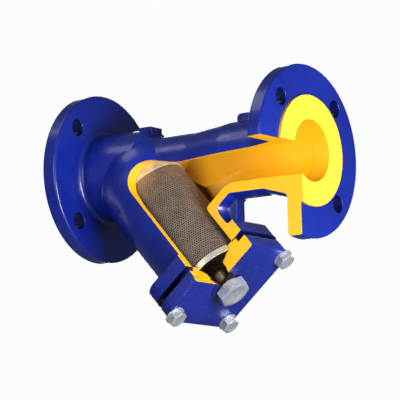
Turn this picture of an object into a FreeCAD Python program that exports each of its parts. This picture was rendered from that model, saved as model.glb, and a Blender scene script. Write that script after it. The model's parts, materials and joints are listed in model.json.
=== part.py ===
"""Flanged Y strainer, DN65, cut open for display: cast body, cover, screen, drain plug and bolts.

Row frame, in millimetres: the origin is the centre of the inlet's raised face, +X runs along the
pipe from inlet to outlet, +Z is up, and the screen's leg points down and towards the outlet.
Leg frame, for everything built about the screen's axis: local X is row Y, local Y runs out of the
crotch side of the leg, and local Z runs down the leg, from the seat to the cover.
"""
import FreeCAD, Part
import math
import os

V = FreeCAD.Vector
X_AXIS = V(1, 0, 0)
Y_AXIS = V(0, 1, 0)
Z_AXIS = V(0, 0, 1)

# Pipe run: EN 558 series 1 length, EN 1092-2 PN16 flanges, nominal size 65
FACE_TO_FACE = 290.0
BORE_R = 32.5
LEAD_IN_R = 33.0
LEAD_IN_DEPTH = 20.0
FLANGE_R = 92.5
FLANGE_T = 20.0
RAISED_R = 59.0
RAISED_T = 3.0
HOLE_CIRCLE_R = 72.5
HOLE_R = 9.5
HOLE_COUNT = 4
RIM_ROUND = 2.5
HUB_R = 47.0
HUB_ROOT_R = 48.0
HUB_END_X = 88.5
HUB_EDGE_R = 4.5
OUTLET_HUB_R = 50.0
NECK_R = 36.8
NECK_END_X = 150.0
NECK_FILLET_R = 3.0
NECK_BLEND_R = 40.0
PIPE_R = 42.0
PIPE_START_X = 196.0
PIPE_END_X = 240.0
PIPE_BLEND_R = 15.0
FLANGE_FILLET_R = 5.0
LUG_EDGE_R = 5.0
OUTLET_LUG_HALF = 13.0
OUTLET_LUG_START_X = 205.0
OUTLET_LUG_TOP_Z = 48.0
INLET_LUG_HALF = 9.5
INLET_LUG_START_X = 72.0
INLET_LUG_END_X = 89.5
INLET_LUG_TOP_Z = 49.5
INLET_LUG_EDGE_R = 1.5

# Leg: its angle below the pipe, where its axis crosses the pipe's, and stations along it
LEG_ANGLE = math.radians(50.0)
CROSSING_X = 67.5
CROSSING_A = -49.8
SEAT_A = -31.0
SEAT_PLATE_T = 6.0
SEAT_HOLE_R = 34.0
SEAT_REBATE = 2.0
SOCKET_END_A = -21.0
CHAMBER_START_A = 8.0
SOCKET_EDGE_R = 15.0
CHAMBER_EDGE_R = 30.0
CHAMBER_R = 47.5
BARREL_R = 54.7
BARREL_FLARE_R = 4.0
DOME_FILLET_R = 4.0
DUCT_A = 26.0
DUCT_R = 32.5
DUCT_WALL = 8.0
DUCT_REACH = 85.0
DUCT_BEND_R = 50.5
BARREL_CREASE_R = 10.0
CHAMBER_CREASE_R = 6.0
WEB_EDGE_X = 197.0
WEB_HALF = 7.5
WEB_DEPTH = 34.0

# Joint between body and cover
PAD_HALF = 59.0
PAD_CORNER_R = 19.0
PAD_EDGE_ROUND = 2.0
BODY_PAD_A = 85.0
BODY_FACE_A = 101.5
GASKET_T = 1.5
GASKET_INNER_R = 47.6
GASKET_OUTER_R = 52.5
COVER_BACK_A = 108.5
COVER_FACE_A = 123.5
BOLT_HALF_SPACING = 48.5
TAPPED_DEPTH = 28.5

# Cover's inside, and the drain hole
SPIGOT_GAP = 0.3
RING_SOCKET_R = 40.7
RING_SHELF_A = 106.3
RING_SHELF_R = 36.0
POCKET_R = 28.0
POCKET_A = 110.5
COVER_FLOOR_A = 119.0
DRAIN_BOSS_R = 21.5
DRAIN_BOSS_T = 1.5
DRAIN_BOSS_ROUND = 1.0
POCKET_ROUND = 2.0

# Screen basket
SCREEN_R = 39.4
SCREEN_WALL = 0.8
BAND_WALL = 0.9
SCREEN_TOP_A = -32.7
SCREEN_END_A = 106.0
TOP_BAND_END_A = -23.5
LOW_BAND_START_A = 99.5
SEAM_HALF_ANGLE = 6.0

# Fasteners
CROWN_SHARE = 0.95
BOLT_R = 5.9
BOLT_TAPPED_R = 6.0
BOLT_CLEARANCE_R = 6.75
BOLT_LENGTH = 40.0
BOLT_HEAD_AF = 18.0
BOLT_HEAD_T = 7.5
BOLT_HEAD_TURN_DEG = 15.0
BOLT_TIP_CHAMFER = 1.0
BOLT_WASHER_BORE_R = 6.4
BOLT_WASHER_R = 11.0
BOLT_WASHER_T = 1.5
PLUG_R = 8.25
PLUG_HOLE_R = 8.33
PLUG_AF = 32.0
PLUG_HEAD_T = 11.0
PLUG_SHANK = 20.5
PLUG_TIP_CHAMFER = 1.2
PLUG_WASHER_BORE_R = 8.35
PLUG_WASHER_R = 14.0
PLUG_WASHER_T = 1.5

# Display cut: the corner in front of CUT_Y, below the pipe's middle and outside the leg's axis
CUT_Y = -20.0
CUT_CORNER = (54.5, 17.0)
CUT_CORNER_R = 22.0
CUT_DIP = (140.0, 0.8)
CUT_DIP_R = 60.0
CUT_RISE = 0.0385
PLUG_VIEW_Y = -8.5
PLUG_VIEW_REACH = 18.0
FAR = 400.0
OVERLAP = 1.0

LEG_DOWN = V(math.cos(LEG_ANGLE), 0, -math.sin(LEG_ANGLE))
LEG_OUT = V(math.sin(LEG_ANGLE), 0, math.cos(LEG_ANGLE))
LEG_ORIGIN = V(CROSSING_X, 0, 0) - LEG_DOWN * CROSSING_A


def to_row(shape):
    """Move a shape from the leg frame to the row frame."""
    columns = [Y_AXIS, LEG_OUT, LEG_DOWN, LEG_ORIGIN]
    rows = [[c[i] for c in columns] for i in range(3)]
    placed = shape.copy()
    placed.transformShape(FreeCAD.Matrix(*rows[0], *rows[1], *rows[2], 0, 0, 0, 1))
    return placed


def fuse(shapes):
    return shapes[0].multiFuse(shapes[1:]).removeSplitter()


def corner_cut(before, corner, after, radius):
    """Where a round of this radius leaves and rejoins the two lines at a corner, and its middle."""
    back = (before - corner).normalize()
    ahead = (after - corner).normalize()
    half = back.getAngle(ahead) / 2
    reach = radius / math.tan(half)
    bisector = (back + ahead).normalize()
    middle = corner + bisector * (radius / math.sin(half) - radius)
    return corner + back * reach, middle, corner + ahead * reach


def outline(corners):
    """Closed face from (x, y) or (x, y, radius) corners, with each stated corner rounded."""
    points = [V(c[0], c[1], 0) for c in corners]
    radii = [c[2] if len(c) > 2 else 0 for c in corners]
    count = len(points)
    cuts = []
    for i in range(count):
        if radii[i]:
            cuts.append(corner_cut(points[i - 1], points[i], points[(i + 1) % count], radii[i]))
        else:
            cuts.append((points[i], None, points[i]))
    edges = []
    for i in range(count):
        start, middle, end = cuts[i]
        if middle:
            edges.append(Part.Arc(start, middle, end).toShape())
        following = cuts[(i + 1) % count][0]
        if end.distanceToPoint(following) > 1e-6:
            edges.append(Part.LineSegment(end, following).toShape())
    return Part.Face(Part.Wire(edges))


def turned(corners):
    """Solid of revolution about local Z: corners are (radius, station), in an outline."""
    face = outline(corners)
    face.rotate(V(), X_AXIS, 90)
    return face.revolve(V(), Z_AXIS, 360)


def turned_about_pipe(corners):
    """Solid of revolution about row X: corners are (x, radius), in an outline."""
    return outline(corners).revolve(V(), X_AXIS, 360)


def disc(radius, start, end):
    """Cylinder about local Z between two stations."""
    return Part.makeCylinder(radius, end - start, V(0, 0, start), Z_AXIS)


def ring(inner, outer, start, end):
    return disc(outer, start, end).cut(disc(inner, start - OVERLAP, end + OVERLAP))


def pad(start, end, round_outer_edge=False):
    """Square pad with rounded corners between two stations on the leg."""
    r = PAD_CORNER_R
    h = PAD_HALF
    plate = outline([(-h, -h, r), (h, -h, r), (h, h, r), (-h, h, r)])
    plate.translate(V(0, 0, start))
    solid = plate.extrude(V(0, 0, end - start))
    if round_outer_edge:
        rim = [edge for edge in solid.Edges if edge.BoundBox.ZMin > end - 0.001]
        solid = solid.makeFillet(PAD_EDGE_ROUND, rim)
    return solid


def bolt_centres():
    s = BOLT_HALF_SPACING
    return [V(s, s, 0), V(s, -s, 0), V(-s, -s, 0)]


def all_hole_centres():
    s = BOLT_HALF_SPACING
    return bolt_centres() + [V(-s, s, 0)]


def hexagon_head(across_flats, start, end, turn_deg=0.0):
    """Hexagonal head with its outer corners chamfered at 30 degrees."""
    corner_r = across_flats / 2 / math.cos(math.pi / 6)
    crown_r = across_flats / 2 * CROWN_SHARE
    points = []
    for i in range(7):
        angle = math.radians(60 * i + turn_deg)
        points.append(V(corner_r * math.cos(angle), corner_r * math.sin(angle), start))
    prism = Part.Face(Part.makePolygon(points)).extrude(V(0, 0, end - start))
    drop = (corner_r - crown_r) * math.tan(math.pi / 6)
    cone = turned([(0, start), (corner_r, start), (corner_r, end - drop), (crown_r, end), (0, end)])
    return prism.common(cone)


def display_cut():
    """The space sawn away, square to row Y: down the leg's axis, round the seat and out along the pipe."""
    foot = V(*CUT_CORNER, 0) + V(LEG_DOWN.x, LEG_DOWN.z, 0) * FAR
    dip_x, dip_z = CUT_DIP
    corners = [
        (*CUT_CORNER, CUT_CORNER_R),
        (dip_x, dip_z, CUT_DIP_R),
        (FAR, dip_z + (FAR - dip_x) * CUT_RISE),
        (FAR, foot.y),
        (foot.x, foot.y),
    ]
    face = outline(corners)
    face.rotate(V(), X_AXIS, 90)
    face.translate(V(0, CUT_Y, 0))
    return face.extrude(V(0, -FAR, 0))


def lead_ins():
    """Slightly wider machined mouth of the bore in each flange."""
    length = LEAD_IN_DEPTH + OVERLAP
    starts = (-OVERLAP, FACE_TO_FACE - LEAD_IN_DEPTH)
    return [Part.makeCylinder(LEAD_IN_R, length, V(x, 0, 0), X_AXIS) for x in starts]


def flange_holes():
    """Through holes of both pipe flanges, straddling the vertical."""
    holes = []
    for start in (-OVERLAP, FACE_TO_FACE - FLANGE_T - OVERLAP):
        for i in range(HOLE_COUNT):
            angle = 2 * math.pi * (i + 0.5) / HOLE_COUNT
            centre = V(start, HOLE_CIRCLE_R * math.cos(angle), HOLE_CIRCLE_R * math.sin(angle))
            holes.append(Part.makeCylinder(HOLE_R, FLANGE_T + 2 * OVERLAP, centre, X_AXIS))
    return holes


def pipe_run():
    """Both flanges, their hubs and the pipe between them, as one turned shape."""
    length = FACE_TO_FACE
    inlet_back = FLANGE_T
    outlet_back = length - FLANGE_T
    return turned_about_pipe([
        (0, 0),
        (0, RAISED_R),
        (RAISED_T, RAISED_R),
        (RAISED_T, FLANGE_R, RIM_ROUND),
        (inlet_back, FLANGE_R, RIM_ROUND),
        (inlet_back, HUB_ROOT_R, FLANGE_FILLET_R),
        (HUB_END_X, HUB_R, HUB_EDGE_R),
        (HUB_END_X, NECK_R, NECK_FILLET_R),
        (NECK_END_X, NECK_R, NECK_BLEND_R),
        (PIPE_START_X, PIPE_R, NECK_BLEND_R),
        (PIPE_END_X, PIPE_R, PIPE_BLEND_R),
        (outlet_back, OUTLET_HUB_R, FLANGE_FILLET_R),
        (outlet_back, FLANGE_R, RIM_ROUND),
        (length - RAISED_T, FLANGE_R, RIM_ROUND),
        (length - RAISED_T, RAISED_R),
        (length, RAISED_R),
        (length, 0),
    ])


def leg_barrel():
    """Round barrel of the leg, closed by a dome at the pipe and flared into the cover pad."""
    dome_top = SEAT_A - BARREL_R
    dome = Part.makeSphere(BARREL_R, V(0, 0, SEAT_A))
    flare_end_r = PAD_HALF + BARREL_FLARE_R
    into_pad = BODY_PAD_A + OVERLAP
    tube = turned([
        (0, SEAT_A),
        (BARREL_R, SEAT_A),
        (BARREL_R, BODY_PAD_A, BARREL_FLARE_R),
        (flare_end_r, BODY_PAD_A),
        (flare_end_r, into_pad),
        (0, into_pad),
    ])
    skirt = disc(PAD_HALF, dome_top, into_pad)
    return fuse([dome, tube.common(skirt)])


def duct_bend(radius):
    """Bend that rounds the corner where the outlet duct turns into the pipe, in the row frame."""
    duct_start = LEG_ORIGIN + LEG_DOWN * DUCT_A
    turn = math.pi / 2 - LEG_ANGLE
    pipe_meeting = duct_start - LEG_OUT * (duct_start.z / LEG_OUT.z)
    tangent = DUCT_BEND_R * math.tan(turn / 2)
    start = pipe_meeting - LEG_OUT * tangent
    centre = pipe_meeting + X_AXIS * tangent - Z_AXIS * DUCT_BEND_R
    section = Part.Face(Part.Wire(Part.makeCircle(radius, start, LEG_OUT)))
    return section.revolve(centre, Y_AXIS, math.degrees(turn))


def leg_and_duct(leg, radius, crease_round):
    """A hollow or solid leg with the duct that leaves it square to its axis, their crease rounded."""
    duct = Part.makeCylinder(radius, DUCT_REACH, V(0, 0, DUCT_A), Y_AXIS)
    joined = fuse([leg, duct])
    crease = [edge for edge in joined.Edges if edge.Curve.TypeId == "Part::GeomBSplineCurve"]
    return to_row(joined.makeFillet(crease_round, crease))


def crotch_web():
    """Upright stiffening web between the pipe and the cover pad."""
    into_pad = BODY_PAD_A + OVERLAP
    foot_z = LEG_ORIGIN.z + ((WEB_EDGE_X - LEG_ORIGIN.x) * LEG_DOWN.x - into_pad) / -LEG_DOWN.z
    pad_slope = LEG_DOWN.x / LEG_DOWN.z
    top_z = -PIPE_R / 2
    corners = [
        (WEB_EDGE_X - WEB_DEPTH, top_z),
        (WEB_EDGE_X, top_z),
        (WEB_EDGE_X, foot_z),
        (WEB_EDGE_X - WEB_DEPTH, foot_z + WEB_DEPTH * pad_slope),
    ]
    points = [V(x, -WEB_HALF, z) for x, z in corners]
    return Part.Face(Part.makePolygon(points + points[:1])).extrude(V(0, 2 * WEB_HALF, 0))


def top_lug(start, end, half, top, round_before, round_after):
    """Low cast lug on top of the pipe, its upper ends rounded where stated."""
    root_z = NECK_R - LUG_EDGE_R
    side = outline([
        (start, root_z),
        (end, root_z),
        (end, top, round_after),
        (start, top, round_before),
    ])
    side.rotate(V(), X_AXIS, 90)
    side.translate(V(0, half, 0))
    return side.extrude(V(0, -2 * half, 0))


def inlet_lug():
    return top_lug(
        INLET_LUG_START_X, INLET_LUG_END_X, INLET_LUG_HALF, INLET_LUG_TOP_Z,
        INLET_LUG_EDGE_R, INLET_LUG_EDGE_R)


def outlet_lug():
    into_flange = FACE_TO_FACE - FLANGE_T + OVERLAP
    return top_lug(
        OUTLET_LUG_START_X, into_flange, OUTLET_LUG_HALF, OUTLET_LUG_TOP_Z, LUG_EDGE_R, 0)


def chamber():
    """Hollow of the leg: the basket's socket, opening out to the full chamber and the cover face."""
    top = SEAT_A - SEAT_REBATE
    mouth = BODY_FACE_A + OVERLAP
    return turned([
        (0, top),
        (RING_SOCKET_R, top),
        (RING_SOCKET_R, SOCKET_END_A, SOCKET_EDGE_R),
        (CHAMBER_R, CHAMBER_START_A, CHAMBER_EDGE_R),
        (CHAMBER_R, mouth),
        (0, mouth),
    ])


def leg_half_space(start, end):
    """Everything between two stations on the leg, for trimming the pipe's bore."""
    corner = V(-FAR / 2, -FAR / 2, start)
    return to_row(Part.makeBox(FAR, FAR, end - start, corner))


def round_dome_joint(outside):
    """Round the crease where the leg's dome meets the inlet hub and the neck."""
    centre = LEG_ORIGIN + LEG_DOWN * SEAT_A
    crease = []
    for edge in outside.Edges:
        middle = edge.valueAt((edge.FirstParameter + edge.LastParameter) / 2)
        spots = [middle] + [vertex.Point for vertex in edge.Vertexes]
        on_dome = all(abs(spot.distanceToPoint(centre) - BARREL_R) < 0.01 for spot in spots)
        on_hub = all(spot.x < HUB_END_X + OVERLAP for spot in spots)
        below = (middle - centre).dot(LEG_DOWN) > -OVERLAP
        if on_dome and on_hub and not below:
            crease.append(edge)
    return outside.makeFillet(DOME_FILLET_R, crease)


def body_casting():
    """Cast body with its bores, seat, tapped pad and display cut."""
    outside = fuse([
        pipe_run(),
        to_row(leg_barrel()),
        leg_and_duct(disc(BARREL_R, SEAT_A, BODY_PAD_A), DUCT_R + DUCT_WALL, BARREL_CREASE_R),
        duct_bend(DUCT_R + DUCT_WALL),
        to_row(pad(BODY_PAD_A, BODY_FACE_A)),
        crotch_web(),
        outlet_lug(),
    ])
    plate_top = SEAT_A - SEAT_PLATE_T
    bore = Part.makeCylinder(BORE_R, FACE_TO_FACE + 2 * OVERLAP, V(-OVERLAP, 0, 0), X_AXIS)
    hollows = [
        bore.common(leg_half_space(plate_top - FAR, plate_top)),
        bore.common(leg_half_space(SEAT_A, SEAT_A + FAR)),
        to_row(disc(SEAT_HOLE_R, SEAT_A - BORE_R, SEAT_A)),
        leg_and_duct(chamber(), DUCT_R, CHAMBER_CREASE_R),
        duct_bend(DUCT_R),
    ]
    for centre in all_hole_centres():
        hole = disc(BOLT_TAPPED_R, BODY_FACE_A - TAPPED_DEPTH, BODY_FACE_A + OVERLAP)
        hole.translate(centre)
        hollows.append(to_row(hole))
    hollows += lead_ins() + flange_holes()
    outside = fuse([round_dome_joint(outside), inlet_lug()])
    return outside.cut(hollows).cut(display_cut())


def cover():
    """Bolted cover: socket for the basket's end, a sump pocket and the tapped drain hole."""
    lip_top = BODY_FACE_A + SPIGOT_GAP
    lip_r = GASKET_INNER_R - SPIGOT_GAP
    spigot_top = BODY_FACE_A + GASKET_T
    into_pad = COVER_BACK_A + OVERLAP
    boss_face = COVER_FACE_A + DRAIN_BOSS_T
    spigot = turned([
        (0, lip_top),
        (lip_r, lip_top),
        (lip_r, spigot_top),
        (GASKET_OUTER_R, spigot_top),
        (GASKET_OUTER_R, into_pad),
        (0, into_pad),
    ])
    boss = turned([
        (0, COVER_FACE_A - OVERLAP),
        (DRAIN_BOSS_R, COVER_FACE_A - OVERLAP),
        (DRAIN_BOSS_R, boss_face, DRAIN_BOSS_ROUND),
        (0, boss_face),
    ])
    solid = fuse([pad(COVER_BACK_A, COVER_FACE_A, round_outer_edge=True), spigot, boss])
    hollow = turned([
        (0, BODY_FACE_A),
        (RING_SOCKET_R, BODY_FACE_A),
        (RING_SOCKET_R, RING_SHELF_A),
        (RING_SHELF_R, RING_SHELF_A),
        (POCKET_R, POCKET_A, POCKET_ROUND),
        (POCKET_R, COVER_FLOOR_A, POCKET_ROUND),
        (0, COVER_FLOOR_A),
    ])
    tools = [hollow, disc(PLUG_HOLE_R, COVER_FLOOR_A - OVERLAP, boss_face + OVERLAP)]
    for centre in all_hole_centres():
        hole = disc(BOLT_CLEARANCE_R, COVER_BACK_A - OVERLAP, COVER_FACE_A + OVERLAP)
        hole.translate(centre)
        tools.append(hole)
    slot_start = COVER_FLOOR_A - POCKET_ROUND
    slot_depth = boss_face + OVERLAP - slot_start
    slot_corner = V(PLUG_VIEW_Y - FAR, 0, slot_start)
    view_slot = Part.makeBox(FAR, PLUG_VIEW_REACH, slot_depth, slot_corner)
    return to_row(solid.cut(tools).cut(view_slot)).cut(display_cut())


def cover_gasket():
    flat = ring(GASKET_INNER_R, GASKET_OUTER_R, BODY_FACE_A, BODY_FACE_A + GASKET_T)
    return to_row(flat).cut(display_cut())


def band(start, end):
    """Sheet-metal band around one end of the screen."""
    return to_row(ring(SCREEN_R, SCREEN_R + BAND_WALL, start, end))


def screen_sheet():
    return to_row(ring(SCREEN_R - SCREEN_WALL, SCREEN_R, SCREEN_TOP_A, SCREEN_END_A))


def screen_seam_strip():
    """Strip spot-welded over the sheet's lap, on the side away from the display cut."""
    strip = ring(SCREEN_R, SCREEN_R + BAND_WALL, TOP_BAND_END_A, LOW_BAND_START_A)
    reach = SCREEN_R * 2
    half = reach * math.tan(math.radians(SEAM_HALF_ANGLE))
    start = TOP_BAND_END_A
    points = [V(0, 0, start), V(reach, -half, start), V(reach, half, start)]
    wedge = Part.Face(Part.makePolygon(points + points[:1]))
    return to_row(strip.common(wedge.extrude(V(0, 0, LOW_BAND_START_A - start))))


def shank(radius, tip, end, chamfer):
    """Plain shank with a chamfered tip."""
    return turned([
        (0, tip),
        (radius - chamfer, tip),
        (radius, tip + chamfer),
        (radius, end),
        (0, end),
    ])


def cover_bolt(centre):
    """Hexagon bolt with a chamfered tip, its head on the washer."""
    seat = COVER_FACE_A + BOLT_WASHER_T
    tip = seat - BOLT_LENGTH
    head = hexagon_head(BOLT_HEAD_AF, seat, seat + BOLT_HEAD_T, BOLT_HEAD_TURN_DEG)
    bolt = fuse([shank(BOLT_R, tip, seat + OVERLAP, BOLT_TIP_CHAMFER), head])
    bolt.translate(centre)
    return to_row(bolt)


def cover_bolt_washer(centre):
    washer = ring(BOLT_WASHER_BORE_R, BOLT_WASHER_R, COVER_FACE_A, COVER_FACE_A + BOLT_WASHER_T)
    washer.translate(centre)
    return to_row(washer)


def drain_plug():
    """Hexagon drain plug with a parallel shank."""
    seat = COVER_FACE_A + DRAIN_BOSS_T + PLUG_WASHER_T
    tip = seat - PLUG_SHANK
    head = hexagon_head(PLUG_AF, seat, seat + PLUG_HEAD_T)
    return to_row(fuse([shank(PLUG_R, tip, seat + OVERLAP, PLUG_TIP_CHAMFER), head]))


def drain_plug_washer():
    start = COVER_FACE_A + DRAIN_BOSS_T
    return to_row(ring(PLUG_WASHER_BORE_R, PLUG_WASHER_R, start, start + PLUG_WASHER_T))


def parts():
    made = {
        "body_casting": body_casting(),
        "cover": cover(),
        "cover_gasket": cover_gasket(),
        "screen_sheet": screen_sheet(),
        "screen_top_band": band(SCREEN_TOP_A, TOP_BAND_END_A),
        "screen_bottom_band": band(LOW_BAND_START_A, SCREEN_END_A),
        "screen_seam_strip": screen_seam_strip(),
        "drain_plug": drain_plug(),
        "drain_plug_washer": drain_plug_washer(),
    }
    for number, centre in enumerate(bolt_centres(), start=1):
        made[f"cover_bolt_{number}"] = cover_bolt(centre)
        made[f"cover_bolt_washer_{number}"] = cover_bolt_washer(centre)
    return made


os.makedirs("parts", exist_ok=True)
for name, shape in parts().items():
    solid, = shape.Solids
    print(f"{name}: valid {solid.isValid()}, {solid.Volume / 1000:.1f} cm3")
    solid.exportStep(f"parts/{name}.step")
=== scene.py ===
"""Looks for the cutaway Y strainer: enamelled castings, perforated basket, threaded fasteners."""
import bmesh
import bpy
import json
import math
from mathutils import Matrix, Vector


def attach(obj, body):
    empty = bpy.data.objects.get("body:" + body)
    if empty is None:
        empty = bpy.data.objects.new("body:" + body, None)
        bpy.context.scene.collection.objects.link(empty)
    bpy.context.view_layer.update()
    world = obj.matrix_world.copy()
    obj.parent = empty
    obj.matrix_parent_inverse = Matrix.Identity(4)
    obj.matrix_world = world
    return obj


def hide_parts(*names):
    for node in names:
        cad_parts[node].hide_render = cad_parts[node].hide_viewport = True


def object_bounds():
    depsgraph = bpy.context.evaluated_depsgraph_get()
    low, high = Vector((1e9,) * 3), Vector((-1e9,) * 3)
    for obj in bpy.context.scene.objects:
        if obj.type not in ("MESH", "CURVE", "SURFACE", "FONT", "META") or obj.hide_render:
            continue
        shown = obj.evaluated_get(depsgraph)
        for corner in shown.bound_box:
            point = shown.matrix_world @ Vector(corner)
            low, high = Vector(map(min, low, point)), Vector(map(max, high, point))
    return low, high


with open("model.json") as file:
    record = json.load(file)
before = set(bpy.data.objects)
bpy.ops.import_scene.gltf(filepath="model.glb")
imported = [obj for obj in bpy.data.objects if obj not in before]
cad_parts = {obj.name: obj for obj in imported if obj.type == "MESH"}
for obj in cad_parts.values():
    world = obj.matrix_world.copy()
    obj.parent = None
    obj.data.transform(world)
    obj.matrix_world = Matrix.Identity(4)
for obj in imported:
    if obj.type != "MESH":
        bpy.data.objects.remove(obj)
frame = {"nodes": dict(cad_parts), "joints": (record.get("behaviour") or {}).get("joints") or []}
cad_low, cad_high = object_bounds()
joints = {joint["name"]: joint for joint in frame["joints"]}

# Leg frame: A runs down the leg, T out of its crotch side, and row Y is shared
LEG_DOWN = Vector(joints["cover_removal"]["axis"]).normalized()
LEG_OUT = Vector((-LEG_DOWN.z, 0, LEG_DOWN.x))
PLUG_SEAT = Vector(joints["drain_plug_turn"]["pos_m"])
PLUG_SEAT_A = 0.125
LEG_ORIGIN = PLUG_SEAT - LEG_DOWN * PLUG_SEAT_A

# Sizes of the castings, in metres, as the CAD has them
FACE_TO_FACE = cad_high.x
RAISED_R = 0.059
RAISED_T = 0.003
BORE_R = 0.0325
SEAT_TOP_A = -0.037
BODY_FACE_A = 0.1015
GASKET_T = 0.0015
COVER_BACK_A = 0.1085
CHAMBER_R = 0.0475
DUCT_A = 0.026
BEND_R = 0.0505
BEND_CENTRE = Vector((0.2038, -0.0505))
POCKET_R = 0.028
RING_SOCKET_R = 0.0407
COVER_FLOOR_A = 0.119
CUT_Y = -0.020
COVER_FACE_A = 0.1235
CUT_CORNER = Vector((0.0545, 0.017))
CUT_CORNER_R = 0.022
CUT_DIP = Vector((0.140, 0.0008))
CUT_RISE = 0.0385

# Limits of the painted areas inside the castings
LINING_T = 0.0035
SEAT_BORE_RISE = 0.03
DUCT_START_T = 0.036
DUCT_END_T = 0.125
BEND_PAST_END = 0.002
BEND_START_SLOPE = -0.7
LIP_WIDTH = 0.001
LIP_DEPTH = 0.002

# Telling faces apart: slack at a limit, how square a face lies, and how far ahead it looks
EDGE_SLACK = 0.0004
POCKET_SLACK = 0.0003
POCKET_SIDE_SLACK = 0.0005
CUT_SLACK = 0.0002
FINE_SLACK = 0.0001
SQUARE_ON = 0.98
EDGE_ON = 0.02
CUT_LOOK = 0.0022
BORE_LOOK = 0.002

# Basket
SCREEN_R = 0.0394
SCREEN_WALL = 0.0008
SCREEN_TOP_A = -0.0327
SCREEN_END_A = 0.106
SCREEN_MARGIN = 0.0040
HOLES_AROUND = 88
HOLE_SHARE = 0.35
# Painted light on the basket: a tan patch on its top end, edged along a slant across the leg
PAINTED_LIGHT_SLANT = 0.5
PAINTED_LIGHT_WAY = LEG_DOWN + LEG_OUT * PAINTED_LIGHT_SLANT
PAINTED_LIGHT_START = 0.005
PAINTED_LIGHT_EDGE = LEG_ORIGIN.dot(PAINTED_LIGHT_WAY) + PAINTED_LIGHT_START
PAINTED_LIGHT_FADE = 0.010
PAINTED_LIGHT_WANDER = 0.03

# Surface textures: rays for each look round, how far the painted shade in corners reaches, and depths of
# the bumps
LOOK_ROUND_RAYS = 6
PAINTED_SHADE_REACH = 0.028
CASTING_LUMPS = 0.0012
ORANGE_PEEL = 0.0003
FINE_GRAIN = 0.0001
METAL_GRAIN = 0.00008
FIBRE_DEPTH = 0.0002

# Points nearer than this are one
MERGE_DISTANCE = 1e-6

# Fasteners
AROUND = 48
STEPS_PER_PITCH = 8
BOLT_R = 0.0059
BOLT_ROOT_R = 0.0051
BOLT_PITCH = 0.00175
BOLT_LENGTH = 0.040
BOLT_PLAIN = 0.012
BOLT_AF = 0.018
BOLT_HEAD_T = 0.0075
BOLT_HEAD_TURN = math.radians(15)
PLUG_R = 0.00825
PLUG_ROOT_R = 0.0074
PLUG_PITCH = 0.001337
PLUG_SHANK = 0.0205
PLUG_PLAIN = 0.0012
PLUG_AF = 0.032
PLUG_HEAD_T = 0.011
WASHER_T = 0.0015
CROWN_SHARE = 0.95
DISH_OUTER_SHARE = 0.72
DISH_INNER_SHARE = 0.68
DISH_T = 0.0003
BEARING_SHARE = 0.93
BEARING_T = 0.0004
TIP_CHAMFER = 0.0003
THREAD_START = 0.0004
THREAD_RUNOUT = 0.0005
SHANK_RELIEF = 0.0002
CREST_GAIN = 1.5
CREST_CUT = 0.25

# Camera, as found from the flanges' rims
VIEW_CENTRE = Vector((FACE_TO_FACE / 2, 0, 0))
VIEW_AZIMUTH = math.radians(35.160)
VIEW_ELEVATION = math.radians(-9.212)
VIEW_ROLL = math.radians(-1.585)
VIEW_DISTANCE = 3.1039
FOCAL_RATIO = 7.2085
SENSOR = 36.0
SHIFT_X = 0.0015
SHIFT_Y = -0.0844

# Stage: the floor, and the backdrop as it lights the strainer and as the camera sees it
FLOOR_HALF = 12.0
FLOOR_DROP = 2.4
FLOOR_GLOW = 0.52
BACKDROP_LIGHT = (0.11, 0.12, 0.14, 1)
BACKDROP_SEEN = (0.97, 0.973, 0.978, 1)


def srgb(red, green, blue):
    """Linear colour from 0 to 255 screen values."""
    def linear(value):
        share = value / 255
        return share / 12.92 if share <= 0.04045 else ((share + 0.055) / 1.055) ** 2.4
    return (linear(red), linear(green), linear(blue), 1.0)


def leg_place(point):
    """(row Y, distance out of the crotch side, distance down the leg) of a point."""
    offset = point - LEG_ORIGIN
    return offset.y, offset.dot(LEG_OUT), offset.dot(LEG_DOWN)


def leg_point(across, out, down):
    """Point at a place given in the leg's frame."""
    return LEG_ORIGIN + LEG_OUT * out + LEG_DOWN * down + Vector((0, across, 0))


# ---------------------------------------------------------------- materials

def new_material(name):
    material = bpy.data.materials.new(name)
    material.use_nodes = True
    tree = material.node_tree
    return material, tree, tree.nodes["Principled BSDF"]


def noise(tree, scale, detail, roughness=0.55):
    """Noise in the piece's own space, with its scale per metre."""
    place = tree.nodes.new("ShaderNodeTexCoord")
    texture = tree.nodes.new("ShaderNodeTexNoise")
    texture.inputs["Scale"].default_value = scale
    texture.inputs["Detail"].default_value = detail
    texture.inputs["Roughness"].default_value = roughness
    tree.links.new(place.outputs["Object"], texture.inputs["Vector"])
    return texture.outputs["Fac"]


def ramp(tree, source, low, high, colours):
    """Colour between two, as the source goes from low to high."""
    node = tree.nodes.new("ShaderNodeValToRGB")
    node.color_ramp.elements[0].position = low
    node.color_ramp.elements[1].position = high
    node.color_ramp.elements[0].color = colours[0]
    node.color_ramp.elements[1].color = colours[1]
    tree.links.new(source, node.inputs["Fac"])
    return node.outputs["Color"]


def grey_ramp(tree, source, low, high, dark, light):
    return ramp(tree, source, low, high, [(dark, dark, dark, 1), (light, light, light, 1)])


def mix(tree, factor, first, second):
    node = tree.nodes.new("ShaderNodeMix")
    node.data_type = "RGBA"
    tree.links.new(factor, node.inputs["Factor"])
    for socket, value in ((node.inputs["A"], first), (node.inputs["B"], second)):
        if isinstance(value, tuple):
            socket.default_value = value
        else:
            tree.links.new(value, socket)
    return node.outputs["Result"]


def bump(tree, layers, edge_radius=0.0):
    """Stacked bumps, coarse to fine, each (height output, distance in metres, strength)."""
    normal = None
    if edge_radius:
        rounded = tree.nodes.new("ShaderNodeBevel")
        rounded.samples = LOOK_ROUND_RAYS
        rounded.inputs["Radius"].default_value = edge_radius
        normal = rounded.outputs["Normal"]
    for height, distance, strength in layers:
        node = tree.nodes.new("ShaderNodeBump")
        node.inputs["Distance"].default_value = distance
        node.inputs["Strength"].default_value = strength
        tree.links.new(height, node.inputs["Height"])
        if normal:
            tree.links.new(normal, node.inputs["Normal"])
        normal = node.outputs["Normal"]
    return normal


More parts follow.
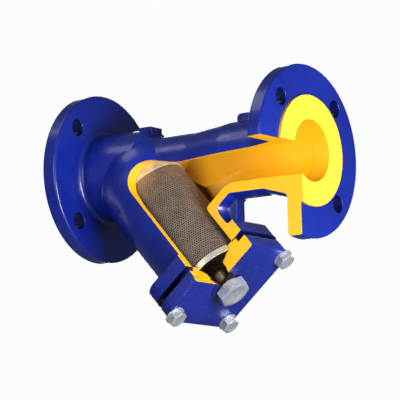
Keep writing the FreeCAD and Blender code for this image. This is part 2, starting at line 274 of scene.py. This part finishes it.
def painted_shade_share(tree, reach):
    """Mask for painted shade: 0 in a tight corner and 1 in the open."""
    node = tree.nodes.new("ShaderNodeAmbientOcclusion")
    node.samples = LOOK_ROUND_RAYS
    node.inputs["Distance"].default_value = reach
    return grey_ramp(tree, node.outputs["AO"], low=0.25, high=0.85, dark=0.0, light=1.0)


def enamel(name, base, deep, pale_speck, painted_shade_colour, edge_radius, roughness, texture_depth,
           coat=0.35, speck_share=0.35):
    """Brushed enamel over a sand casting or a milled cut: soft gloss with a slight orange peel, and
    painted shade in its corners and creases.
    """
    material, tree, shader = new_material(name)
    drift_noise = noise(tree, scale=14, detail=3.0)
    drift = ramp(tree, drift_noise, low=0.35, high=0.68, colours=[deep, base])
    specks = noise(tree, scale=420, detail=2.0)
    speck_mask = grey_ramp(tree, specks, low=0.66, high=0.74, dark=0.0, light=speck_share)
    specked = mix(tree, speck_mask, drift, pale_speck)
    # Painted shade: the colour darkens to the painted shade colour in corners and creases
    colour = mix(tree, painted_shade_share(tree, PAINTED_SHADE_REACH), painted_shade_colour, specked)
    tree.links.new(colour, shader.inputs["Base Color"])
    sheen_noise = noise(tree, scale=60, detail=5.0)
    sheen = grey_ramp(
        tree, sheen_noise, low=0.3, high=0.7, dark=roughness * 0.8, light=roughness * 1.35)
    tree.links.new(sheen, shader.inputs["Roughness"])
    shader.inputs["Coat Weight"].default_value = coat
    shader.inputs["Coat Roughness"].default_value = 0.12
    shader.inputs["Specular IOR Level"].default_value = 0.5
    layers = [
        (noise(tree, scale=38, detail=3.0), CASTING_LUMPS, texture_depth),
        (noise(tree, scale=300, detail=4.0), ORANGE_PEEL, texture_depth),
        (noise(tree, scale=1300, detail=2.0), FINE_GRAIN, texture_depth),
    ]
    tree.links.new(bump(tree, layers, edge_radius), shader.inputs["Normal"])
    return material


def metal(name, bright, dull, roughness, grain, metallic, edge_radius=0.0):
    """Plated or stainless metal with a fine grain."""
    material, tree, shader = new_material(name)
    tarnish = noise(tree, scale=90, detail=4.0)
    colour = ramp(tree, tarnish, low=0.3, high=0.7, colours=[dull, bright])
    tree.links.new(colour, shader.inputs["Base Color"])
    shader.inputs["Metallic"].default_value = metallic
    sheen_noise = noise(tree, scale=grain, detail=3.0)
    sheen = grey_ramp(
        tree, sheen_noise, low=0.3, high=0.7, dark=roughness * 0.75, light=roughness * 1.4)
    tree.links.new(sheen, shader.inputs["Roughness"])
    layers = [(noise(tree, scale=grain * 2, detail=3.0), METAL_GRAIN, 0.5)]
    tree.links.new(bump(tree, layers, edge_radius), shader.inputs["Normal"])
    return material


def screen_metal():
    """Perforated steel, grey-brown, with a tan patch of painted light, for the lit yellow inside seen
    through the holes, on the end that meets the flow first.
    """
    material, tree, shader = new_material("stained_screen_steel_painted_light")
    place = tree.nodes.new("ShaderNodeTexCoord")
    along = tree.nodes.new("ShaderNodeVectorMath")
    along.operation = "DOT_PRODUCT"
    along.inputs[1].default_value = PAINTED_LIGHT_WAY
    tree.links.new(place.outputs["Object"], along.inputs[0])
    wander = tree.nodes.new("ShaderNodeMath")
    wander.operation = "MULTIPLY_ADD"
    wander.inputs[1].default_value = PAINTED_LIGHT_WANDER
    tree.links.new(noise(tree, scale=26, detail=4.0), wander.inputs[0])
    tree.links.new(along.outputs["Value"], wander.inputs[2])
    # Painted light: the tan patch on the basket's top end
    painted_light = grey_ramp(
        tree, wander.outputs["Value"], PAINTED_LIGHT_EDGE, PAINTED_LIGHT_EDGE + PAINTED_LIGHT_FADE, dark=1.0, light=0.0)
    mottle = noise(tree, scale=70, detail=5.0)
    grey = ramp(
        tree, mottle, low=0.3, high=0.7, colours=[srgb(108, 96, 86), srgb(134, 121, 110)])
    colour = mix(tree, painted_light, grey, srgb(162, 134, 94))
    tree.links.new(colour, shader.inputs["Base Color"])
    shader.inputs["Metallic"].default_value = 0.35
    shader.inputs["Roughness"].default_value = 0.48
    layers = [(noise(tree, scale=1400, detail=3.0), METAL_GRAIN, 0.5)]
    tree.links.new(bump(tree, layers), shader.inputs["Normal"])
    return material


def gasket_material():
    """Graphited compressed fibre sheet."""
    material, tree, shader = new_material("gasket_fibre")
    fibres = noise(tree, scale=900, detail=6.0, roughness=0.7)
    colour = ramp(tree, fibres, low=0.3, high=0.7, colours=[srgb(34, 28, 24), srgb(66, 56, 46)])
    tree.links.new(colour, shader.inputs["Base Color"])
    shader.inputs["Roughness"].default_value = 0.7
    tree.links.new(bump(tree, [(fibres, FIBRE_DEPTH, 0.6)]), shader.inputs["Normal"])
    return material


BLUE = enamel(
    "blue_enamel", srgb(16, 39, 148), srgb(10, 30, 130), srgb(30, 48, 160), srgb(4, 12, 52),
    edge_radius=0.0016, roughness=0.30, texture_depth=0.20)
# The cover's many pale specks are painted highlights on its rough cast face
BLUE_ROUGH = enamel(
    "rough_blue_enamel", srgb(22, 42, 154), srgb(12, 27, 122), srgb(92, 106, 190), srgb(4, 12, 52),
    edge_radius=0.0016, roughness=0.34, texture_depth=0.55, speck_share=0.8)
YELLOW_CUT = enamel(
    "yellow_cut_enamel", srgb(255, 196, 5), srgb(252, 188, 3), srgb(255, 204, 24), srgb(226, 156, 2),
    edge_radius=0.0008, roughness=0.42, texture_depth=0.12, coat=0.12)
YELLOW_BORE = enamel(
    "yellow_bore_enamel", srgb(251, 196, 22), srgb(246, 188, 16), srgb(252, 204, 40), srgb(150, 96, 12),
    edge_radius=0.0, roughness=0.44, texture_depth=0.16, coat=0.12)
# The raised faces get a paler, lighter copy of the same yellow paint: painted light on faces turned to the
# key lamp
FACE_YELLOW = enamel(
    "yellow_face_enamel", srgb(255, 214, 62), srgb(255, 208, 54), srgb(255, 218, 80), srgb(240, 190, 40),
    edge_radius=0.0008, roughness=0.36, texture_depth=0.08)
# Dark brown painted shade for the cover's deep pocket and the open joint gap
POCKET_PAINTED_SHADE = enamel(
    "pocket_painted_shade", srgb(44, 22, 12), srgb(26, 12, 7), srgb(70, 42, 22), srgb(14, 6, 4),
    edge_radius=0.0004, roughness=0.60, texture_depth=0.45)
SCREEN_STEEL = screen_metal()
BAND_STEEL = metal(
    "band_steel", srgb(226, 226, 206), srgb(190, 190, 170), roughness=0.34, grain=500,
    edge_radius=0.0003, metallic=0.6)
ZINC = metal(
    "bright_zinc", srgb(208, 211, 218), srgb(166, 170, 181), roughness=0.30, grain=420,
    edge_radius=0.0004, metallic=0.5)
PLUG_SHANK_STEEL = metal(
    "dull_shank_steel", srgb(160, 142, 118), srgb(120, 104, 84), roughness=0.46, grain=420,
    metallic=0.5)
BOLT_SHANK_STEEL = metal(
    "black_oiled_thread", srgb(52, 46, 42), srgb(30, 27, 26), roughness=0.50, grain=420,
    metallic=0.5)
GASKET = gasket_material()


def paint(node, material):
    """Give a CAD node one material."""
    slots = frame["nodes"][node].data.materials
    slots.clear()
    slots.append(material)


def paint_by_place(node, materials, choose):
    """Give each face of a CAD node the material that choose(centre, normal) names by number."""
    mesh = frame["nodes"][node].data
    mesh.materials.clear()
    for material in materials:
        mesh.materials.append(material)
    for polygon in mesh.polygons:
        polygon.material_index = choose(polygon.center.copy(), polygon.normal.copy())


# ---------------------------------------------------------------- painted castings

def outside_corner_round(side_place):
    """Whether a point beside the sawn corner lies in what its round left standing."""
    down_leg = Vector((LEG_DOWN.x, LEG_DOWN.z))
    along_top = (CUT_DIP - CUT_CORNER).normalized()
    half = down_leg.angle(along_top) / 2
    reach = CUT_CORNER_R / math.tan(half)
    centre = CUT_CORNER + (down_leg + along_top).normalized() * (CUT_CORNER_R / math.sin(half))
    from_corner = side_place - CUT_CORNER
    beside = from_corner.dot(down_leg) < reach and from_corner.dot(along_top) < reach
    return beside and (side_place - centre).length > CUT_CORNER_R


def in_sawn_space(point):
    """Whether a point is in the quarter that the display cut takes away."""
    out = leg_place(point)[1]
    corner_out = leg_place(Vector((CUT_CORNER.x, 0, CUT_CORNER.y)))[1]
    past_dip = point.x > CUT_DIP.x
    slope = CUT_RISE if past_dip else (CUT_DIP.y - CUT_CORNER.y) / (CUT_DIP.x - CUT_CORNER.x)
    top = CUT_DIP.y + (point.x - CUT_DIP.x) * slope
    in_wedge = point.y < CUT_Y + CUT_SLACK and out > corner_out and point.z < top
    return in_wedge and not outside_corner_round(Vector((point.x, point.z)))


def is_cut_face(centre, normal):
    """A face that the saw left looks straight into the sawn space."""
    square = abs(normal.y) < EDGE_ON or abs(normal.y) > SQUARE_ON
    return square and in_sawn_space(centre + normal * CUT_LOOK)


def bore_distances(point):
    """Distances of a point from the middles of the pipe, the leg, the outlet duct and its bend."""
    across, out, down = leg_place(point)
    pipe = math.hypot(point.y, point.z)
    leg = math.hypot(across, out)
    duct = math.hypot(across, down - DUCT_A)
    from_bend = Vector((point.x, point.z)) - BEND_CENTRE
    bend = math.hypot(point.y, from_bend.length - BEND_R)
    return pipe, leg, duct, bend


def is_waterway(centre, normal):
    """Faces of the bore, seat, chamber and outlet duct, which all face their own middles."""
    _, out, down = leg_place(centre)
    pipe, leg, duct, bend = bore_distances(centre)
    pipe_ahead, leg_ahead, duct_ahead, bend_ahead = bore_distances(centre + normal * BORE_LOOK)
    across_leg = abs(normal.dot(LEG_DOWN)) > SQUARE_ON
    from_bend = Vector((centre.x, centre.z)) - BEND_CENTRE
    on_bend = from_bend.x < BEND_PAST_END and from_bend.y > BEND_START_SLOPE * from_bend.x
    in_pipe = pipe < BORE_R + LINING_T and EDGE_SLACK < centre.x < FACE_TO_FACE - EDGE_SLACK
    between_ends = SEAT_TOP_A - SEAT_BORE_RISE < down < BODY_FACE_A - EDGE_SLACK
    in_leg = leg < CHAMBER_R + LINING_T and between_ends
    in_duct = duct < BORE_R + LINING_T and DUCT_START_T < out < DUCT_END_T
    in_bend = bend < BORE_R + LINING_T and on_bend
    mouth_step = in_pipe and abs(normal.x) > SQUARE_ON
    return (mouth_step
            or (in_pipe and pipe_ahead < pipe)
            or (in_leg and (leg_ahead < leg or across_leg))
            or (in_duct and duct_ahead < duct)
            or (in_bend and bend_ahead < bend))


def casting_paint(centre, normal):
    """Number of the casting's paint: blue, cut yellow, waterway yellow or raised face yellow."""
    if is_cut_face(centre, normal):
        return 1
    if is_waterway(centre, normal):
        return 2
    radius = math.hypot(centre.y, centre.z)
    raised = RAISED_T + FINE_SLACK
    on_face = centre.x < raised or centre.x > FACE_TO_FACE - raised
    return 3 if on_face and radius < RAISED_R + EDGE_SLACK else 0


def cover_paint(centre, normal):
    """Number of the cover's paint: blue, yellow, or the dark brown painted shade in the sump pocket and
    the open joint.
    """
    across, out, down = leg_place(centre)
    radius = math.hypot(across, out)
    past_gasket = BODY_FACE_A + GASKET_T + FINE_SLACK < down < COVER_BACK_A - FINE_SLACK
    joint_gap = past_gasket and radius > CHAMBER_R and abs(normal.y) < SQUARE_ON
    in_pocket = radius < POCKET_R + POCKET_SIDE_SLACK and down < COVER_FACE_A - POCKET_SLACK
    # The sump pocket and the open joint get dark brown painted shade
    if in_pocket or joint_gap:
        return 2
    if is_cut_face(centre, normal):
        return 1
    inside = radius < RING_SOCKET_R + EDGE_SLACK and down < COVER_FLOOR_A
    lip = radius < CHAMBER_R + LIP_WIDTH and down < BODY_FACE_A + LIP_DEPTH
    return 1 if inside or lip else 0


paint_by_place("body_casting", [BLUE, YELLOW_CUT, YELLOW_BORE, FACE_YELLOW], casting_paint)
paint_by_place("cover", [BLUE_ROUGH, YELLOW_CUT, POCKET_PAINTED_SHADE], cover_paint)
paint("cover_gasket", GASKET)
for band in ("screen_top_band", "screen_bottom_band", "screen_seam_strip"):
    paint(band, BAND_STEEL)
for washer in ("drain_plug_washer", "cover_bolt_washer_1", "cover_bolt_washer_2", "cover_bolt_washer_3"):
    paint(washer, ZINC)


# ---------------------------------------------------------------- pieces

def mesh_piece(name, points, faces, material, smooth_angle):
    """Mesh object with outward normals, shaded smooth up to an angle."""
    mesh = bpy.data.meshes.new(name)
    mesh.from_pydata([tuple(p) for p in points], [], faces)
    made = bmesh.new()
    made.from_mesh(mesh)
    bmesh.ops.remove_doubles(made, verts=made.verts, dist=MERGE_DISTANCE)
    bmesh.ops.recalc_face_normals(made, faces=made.faces)
    made.to_mesh(mesh)
    made.free()
    mesh.materials.append(material)
    mesh.shade_smooth()
    mesh.set_sharp_from_angle(angle=math.radians(smooth_angle))
    piece = bpy.data.objects.new(name, mesh)
    bpy.context.scene.collection.objects.link(piece)
    return piece


def screen_point(turn, down, radius):
    """Point on the basket's wall, its angle counted in turns."""
    angle = 2 * math.pi * turn
    return leg_point(radius * math.cos(angle), radius * math.sin(angle), down)


def perforated_screen():
    """Rolled sheet with staggered hexagonal holes, its ends left plain under the bands."""
    width = 1 / HOLES_AROUND
    pitch = 2 * math.pi * SCREEN_R * width
    side = pitch / math.sqrt(3)
    row_pitch = 1.5 * side
    rows = int((SCREEN_END_A - SCREEN_TOP_A - 2 * SCREEN_MARGIN) / row_pitch)
    start = (SCREEN_TOP_A + SCREEN_END_A - (rows - 1) * row_pitch) / 2
    end = start + (rows - 1) * row_pitch
    mid_r = SCREEN_R - SCREEN_WALL / 2
    corners = [math.pi / 6 + math.pi / 3 * i for i in range(6)]
    points, faces = [], []
    for row in range(rows):
        for column in range(HOLES_AROUND):
            first = len(points)
            turn = (column + 0.5 * (row % 2)) * width
            down = start + row * row_pitch
            for reach in (side, HOLE_SHARE * pitch):
                for angle in corners:
                    aside = reach * math.cos(angle) / pitch * width
                    points.append(screen_point(turn + aside, down + reach * math.sin(angle), mid_r))
            for i in range(6):
                j = (i + 1) % 6
                faces.append((first + i, first + j, first + 6 + j, first + 6 + i))
    plain_ends = ((SCREEN_TOP_A, start, -1, 0), (SCREEN_END_A, end, 1, (rows - 1) % 2))
    for edge, row_down, way, shift in plain_ends:
        peak = row_down + way * side
        notch = row_down + way * side / 2
        for half in range(2 * HOLES_AROUND):
            first = len(points)
            left = (half + shift) * width / 2
            right = (half + 1 + shift) * width / 2
            heights = (peak, notch) if half % 2 == 0 else (notch, peak)
            for turn, down in ((left, edge), (right, edge), (right, heights[1]), (left, heights[0])):
                points.append(screen_point(turn, down, mid_r))
            faces.append((first, first + 1, first + 2, first + 3))
    piece = mesh_piece("perforated_screen", points, faces, SCREEN_STEEL, smooth_angle=60.0)
    solid = piece.modifiers.new("sheet", "SOLIDIFY")
    solid.thickness = SCREEN_WALL
    solid.offset = 0.0
    return piece


def hexagon_radius(across_flats, angle):
    """Distance from a hexagon's middle to its side, in a direction."""
    sector = (angle + math.pi / 6) % (math.pi / 3) - math.pi / 6
    return across_flats / 2 / math.cos(sector)


def thread_rings(tip, sizes):
    """Rings of (radius, distance down the leg) along the thread, which fades out at both ends."""
    radius, root, pitch, length, plain = sizes[:5]
    count = int((length - plain) / pitch * STEPS_PER_PITCH)
    rings = []
    for step in range(count + 1):
        down = tip + THREAD_START + step * pitch / STEPS_PER_PITCH
        fade = min(1.0, step / STEPS_PER_PITCH, (count - step) / STEPS_PER_PITCH)
        low = root if step > STEPS_PER_PITCH else root - TIP_CHAMFER * (1 - fade)
        ring = []
        for side in range(AROUND):
            phase = ((down - tip) / pitch - side / AROUND) % 1.0
            ridge = CREST_GAIN * (1 - abs(2 * phase - 1)) - CREST_CUT
            crest = min(1.0, max(0.0, ridge))
            ring.append((low + (radius - low) * crest * fade, down))
        rings.append(ring)
    return rings


def screw_rings(seat, sizes):
    """Rings of a whole screw, from the tip of its shank to the dish in its head."""
    radius, root, _, length, _, across_flats, head_t = sizes
    tip = seat - length
    top = seat + head_t
    crown = across_flats / 2 * CROWN_SHARE
    bearing = across_flats / 2 * BEARING_SHARE
    chamfer_slope = math.tan(math.pi / 6)
    hexagon = [hexagon_radius(across_flats, 2 * math.pi * side / AROUND) for side in range(AROUND)]

    def even(value, down):
        return [(value, down)] * AROUND

    thread = thread_rings(tip, sizes)
    thread_end = thread[-1][0][1]
    shank = [even(0.0, tip), even(root - TIP_CHAMFER, tip)] + thread
    neck = [
        even(radius - SHANK_RELIEF, thread_end + THREAD_RUNOUT),
        even(radius - SHANK_RELIEF, seat),
        even(bearing, seat),
        even(bearing, seat + BEARING_T),
    ]
    head = [
        [(value, seat + BEARING_T) for value in hexagon],
        [(value, top - (value - crown) * chamfer_slope) for value in hexagon],
        even(crown, top),
        even(crown * DISH_OUTER_SHARE, top),
        even(crown * DISH_INNER_SHARE, top - DISH_T),
        even(0.0, top - DISH_T),
    ]
    return shank + neck + head


def threaded_piece(name, place, seat, sizes, head_turn, shank_material):
    """Hexagon-headed screw as one closed turned mesh, with its thread cut along the shank."""
    across, out = place
    rings = screw_rings(seat, sizes)
    points = []
    for ring in rings:
        for side, (value, down) in enumerate(ring):
            angle = 2 * math.pi * side / AROUND + head_turn
            points.append(leg_point(across + value * math.cos(angle), out + value * math.sin(angle), down))
    faces = []
    for level in range(len(rings) - 1):
        for side in range(AROUND):
            after = (side + 1) % AROUND
            low = level * AROUND
            high = low + AROUND
            faces.append((low + side, low + after, high + after, high + side))
    piece = mesh_piece(name, points, faces, ZINC, smooth_angle=32.0)
    piece.data.materials.append(shank_material)
    for polygon in piece.data.polygons:
        if leg_place(polygon.center)[2] < seat - FINE_SLACK:
            polygon.material_index = 1
    return piece


screen = perforated_screen()
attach(screen, "screen")
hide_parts("screen_sheet")

plug_sizes = (PLUG_R, PLUG_ROOT_R, PLUG_PITCH, PLUG_SHANK, PLUG_PLAIN, PLUG_AF, PLUG_HEAD_T)
plug_seat = PLUG_SEAT_A + WASHER_T
plug = threaded_piece("hexagon_drain_plug", (0, 0), plug_seat, plug_sizes, 0.0, PLUG_SHANK_STEEL)
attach(plug, "plug")
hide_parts("drain_plug")

bolt_sizes = (BOLT_R, BOLT_ROOT_R, BOLT_PITCH, BOLT_LENGTH, BOLT_PLAIN, BOLT_AF, BOLT_HEAD_T)
bolt_seat = COVER_FACE_A + WASHER_T
for number in (1, 2, 3):
    centre = Vector(joints[f"cover_bolt_{number}_turn"]["pos_m"])
    across, out, _ = leg_place(centre)
    bolt = threaded_piece(
        f"hexagon_cover_bolt_{number}", (across, out), bolt_seat, bolt_sizes, BOLT_HEAD_TURN,
        BOLT_SHANK_STEEL)
    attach(bolt, f"bolt_{number}")
    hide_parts(f"cover_bolt_{number}")


# ---------------------------------------------------------------- floor, light and camera

def stage_floor():
    """Plain pale floor, well below the strainer, which hangs by its flange."""
    level = cad_low.z - FLOOR_DROP
    signs = ((-1, -1), (1, -1), (1, 1), (-1, 1))
    corners = [(along * FLOOR_HALF, across * FLOOR_HALF, level) for along, across in signs]
    material, tree, shader = new_material("pale_floor")
    clouds = noise(tree, scale=1.5, detail=3.0)
    tone = grey_ramp(tree, clouds, low=0.3, high=0.7, dark=0.80, light=0.84)
    tree.links.new(tone, shader.inputs["Base Color"])
    shader.inputs["Roughness"].default_value = 0.7
    seen = tree.nodes.new("ShaderNodeLightPath")
    glow = grey_ramp(
        tree, seen.outputs["Is Camera Ray"], low=0.0, high=1.0, dark=0.0, light=FLOOR_GLOW)
    tree.links.new(glow, shader.inputs["Emission Color"])
    shader.inputs["Emission Strength"].default_value = 1.0
    floor = mesh_piece("floor", corners, [(0, 1, 2, 3)], material, smooth_angle=40.0)


def area_light(name, place, size, power, colour=(1, 1, 1)):
    """Soft square light aimed at the strainer."""
    light = bpy.data.lights.new(name, "AREA")
    light.shape = "SQUARE"
    light.size = size
    light.energy = power
    light.color = colour
    lamp = bpy.data.objects.new(name, light)
    lamp.location = place
    lamp.rotation_euler = (Vector(place) - VIEW_CENTRE).to_track_quat("Z", "Y").to_euler()
    lamp.visible_camera = False
    bpy.context.scene.collection.objects.link(lamp)


def surroundings():
    """Pale studio backdrop on every side, which adds only a little light of its own."""
    world = bpy.data.worlds.new("studio")
    bpy.context.scene.world = world
    world.use_nodes = True
    tree = world.node_tree
    seen = tree.nodes.new("ShaderNodeLightPath")
    tone = mix(tree, seen.outputs["Is Camera Ray"], BACKDROP_LIGHT, BACKDROP_SEEN)
    tree.links.new(tone, tree.nodes["Background"].inputs["Color"])


def camera():
    """The photo's camera, turned about the middle of the pipe run."""
    back = Vector((
        math.sin(VIEW_AZIMUTH) * math.cos(VIEW_ELEVATION),
        -math.cos(VIEW_AZIMUTH) * math.cos(VIEW_ELEVATION),
        math.sin(VIEW_ELEVATION)))
    right = Vector((math.cos(VIEW_AZIMUTH), math.sin(VIEW_AZIMUTH), 0))
    up = back.cross(right)
    rolled_right = right * math.cos(VIEW_ROLL) + up * math.sin(VIEW_ROLL)
    rolled_up = up * math.cos(VIEW_ROLL) - right * math.sin(VIEW_ROLL)
    data = bpy.data.cameras.new("photo_camera")
    data.sensor_width = SENSOR
    data.lens = SENSOR * FOCAL_RATIO
    data.shift_x = SHIFT_X
    data.shift_y = SHIFT_Y
    data.clip_end = 100.0
    eye = bpy.data.objects.new("photo_camera", data)
    axes = Matrix((rolled_right, rolled_up, back)).transposed()
    eye.matrix_world = Matrix.Translation(VIEW_CENTRE + back * VIEW_DISTANCE) @ axes.to_4x4()
    bpy.context.scene.collection.objects.link(eye)
    bpy.context.scene.camera = eye


stage_floor()
surroundings()
area_light("key", place=(0.95, -0.27, -0.22), size=0.4, power=12.5, colour=(1.0, 0.99, 0.97))
area_light("fill", place=(0.05, -1.8, 0.10), size=1.2, power=15.0, colour=(0.98, 0.99, 1.0))
area_light("top", place=(-0.6, -0.6, 1.4), size=0.7, power=3.0)
area_light("back", place=(-0.9, 1.6, 0.35), size=1.2, power=16.0)
camera()

bpy.context.scene.view_settings.view_transform = "Standard"
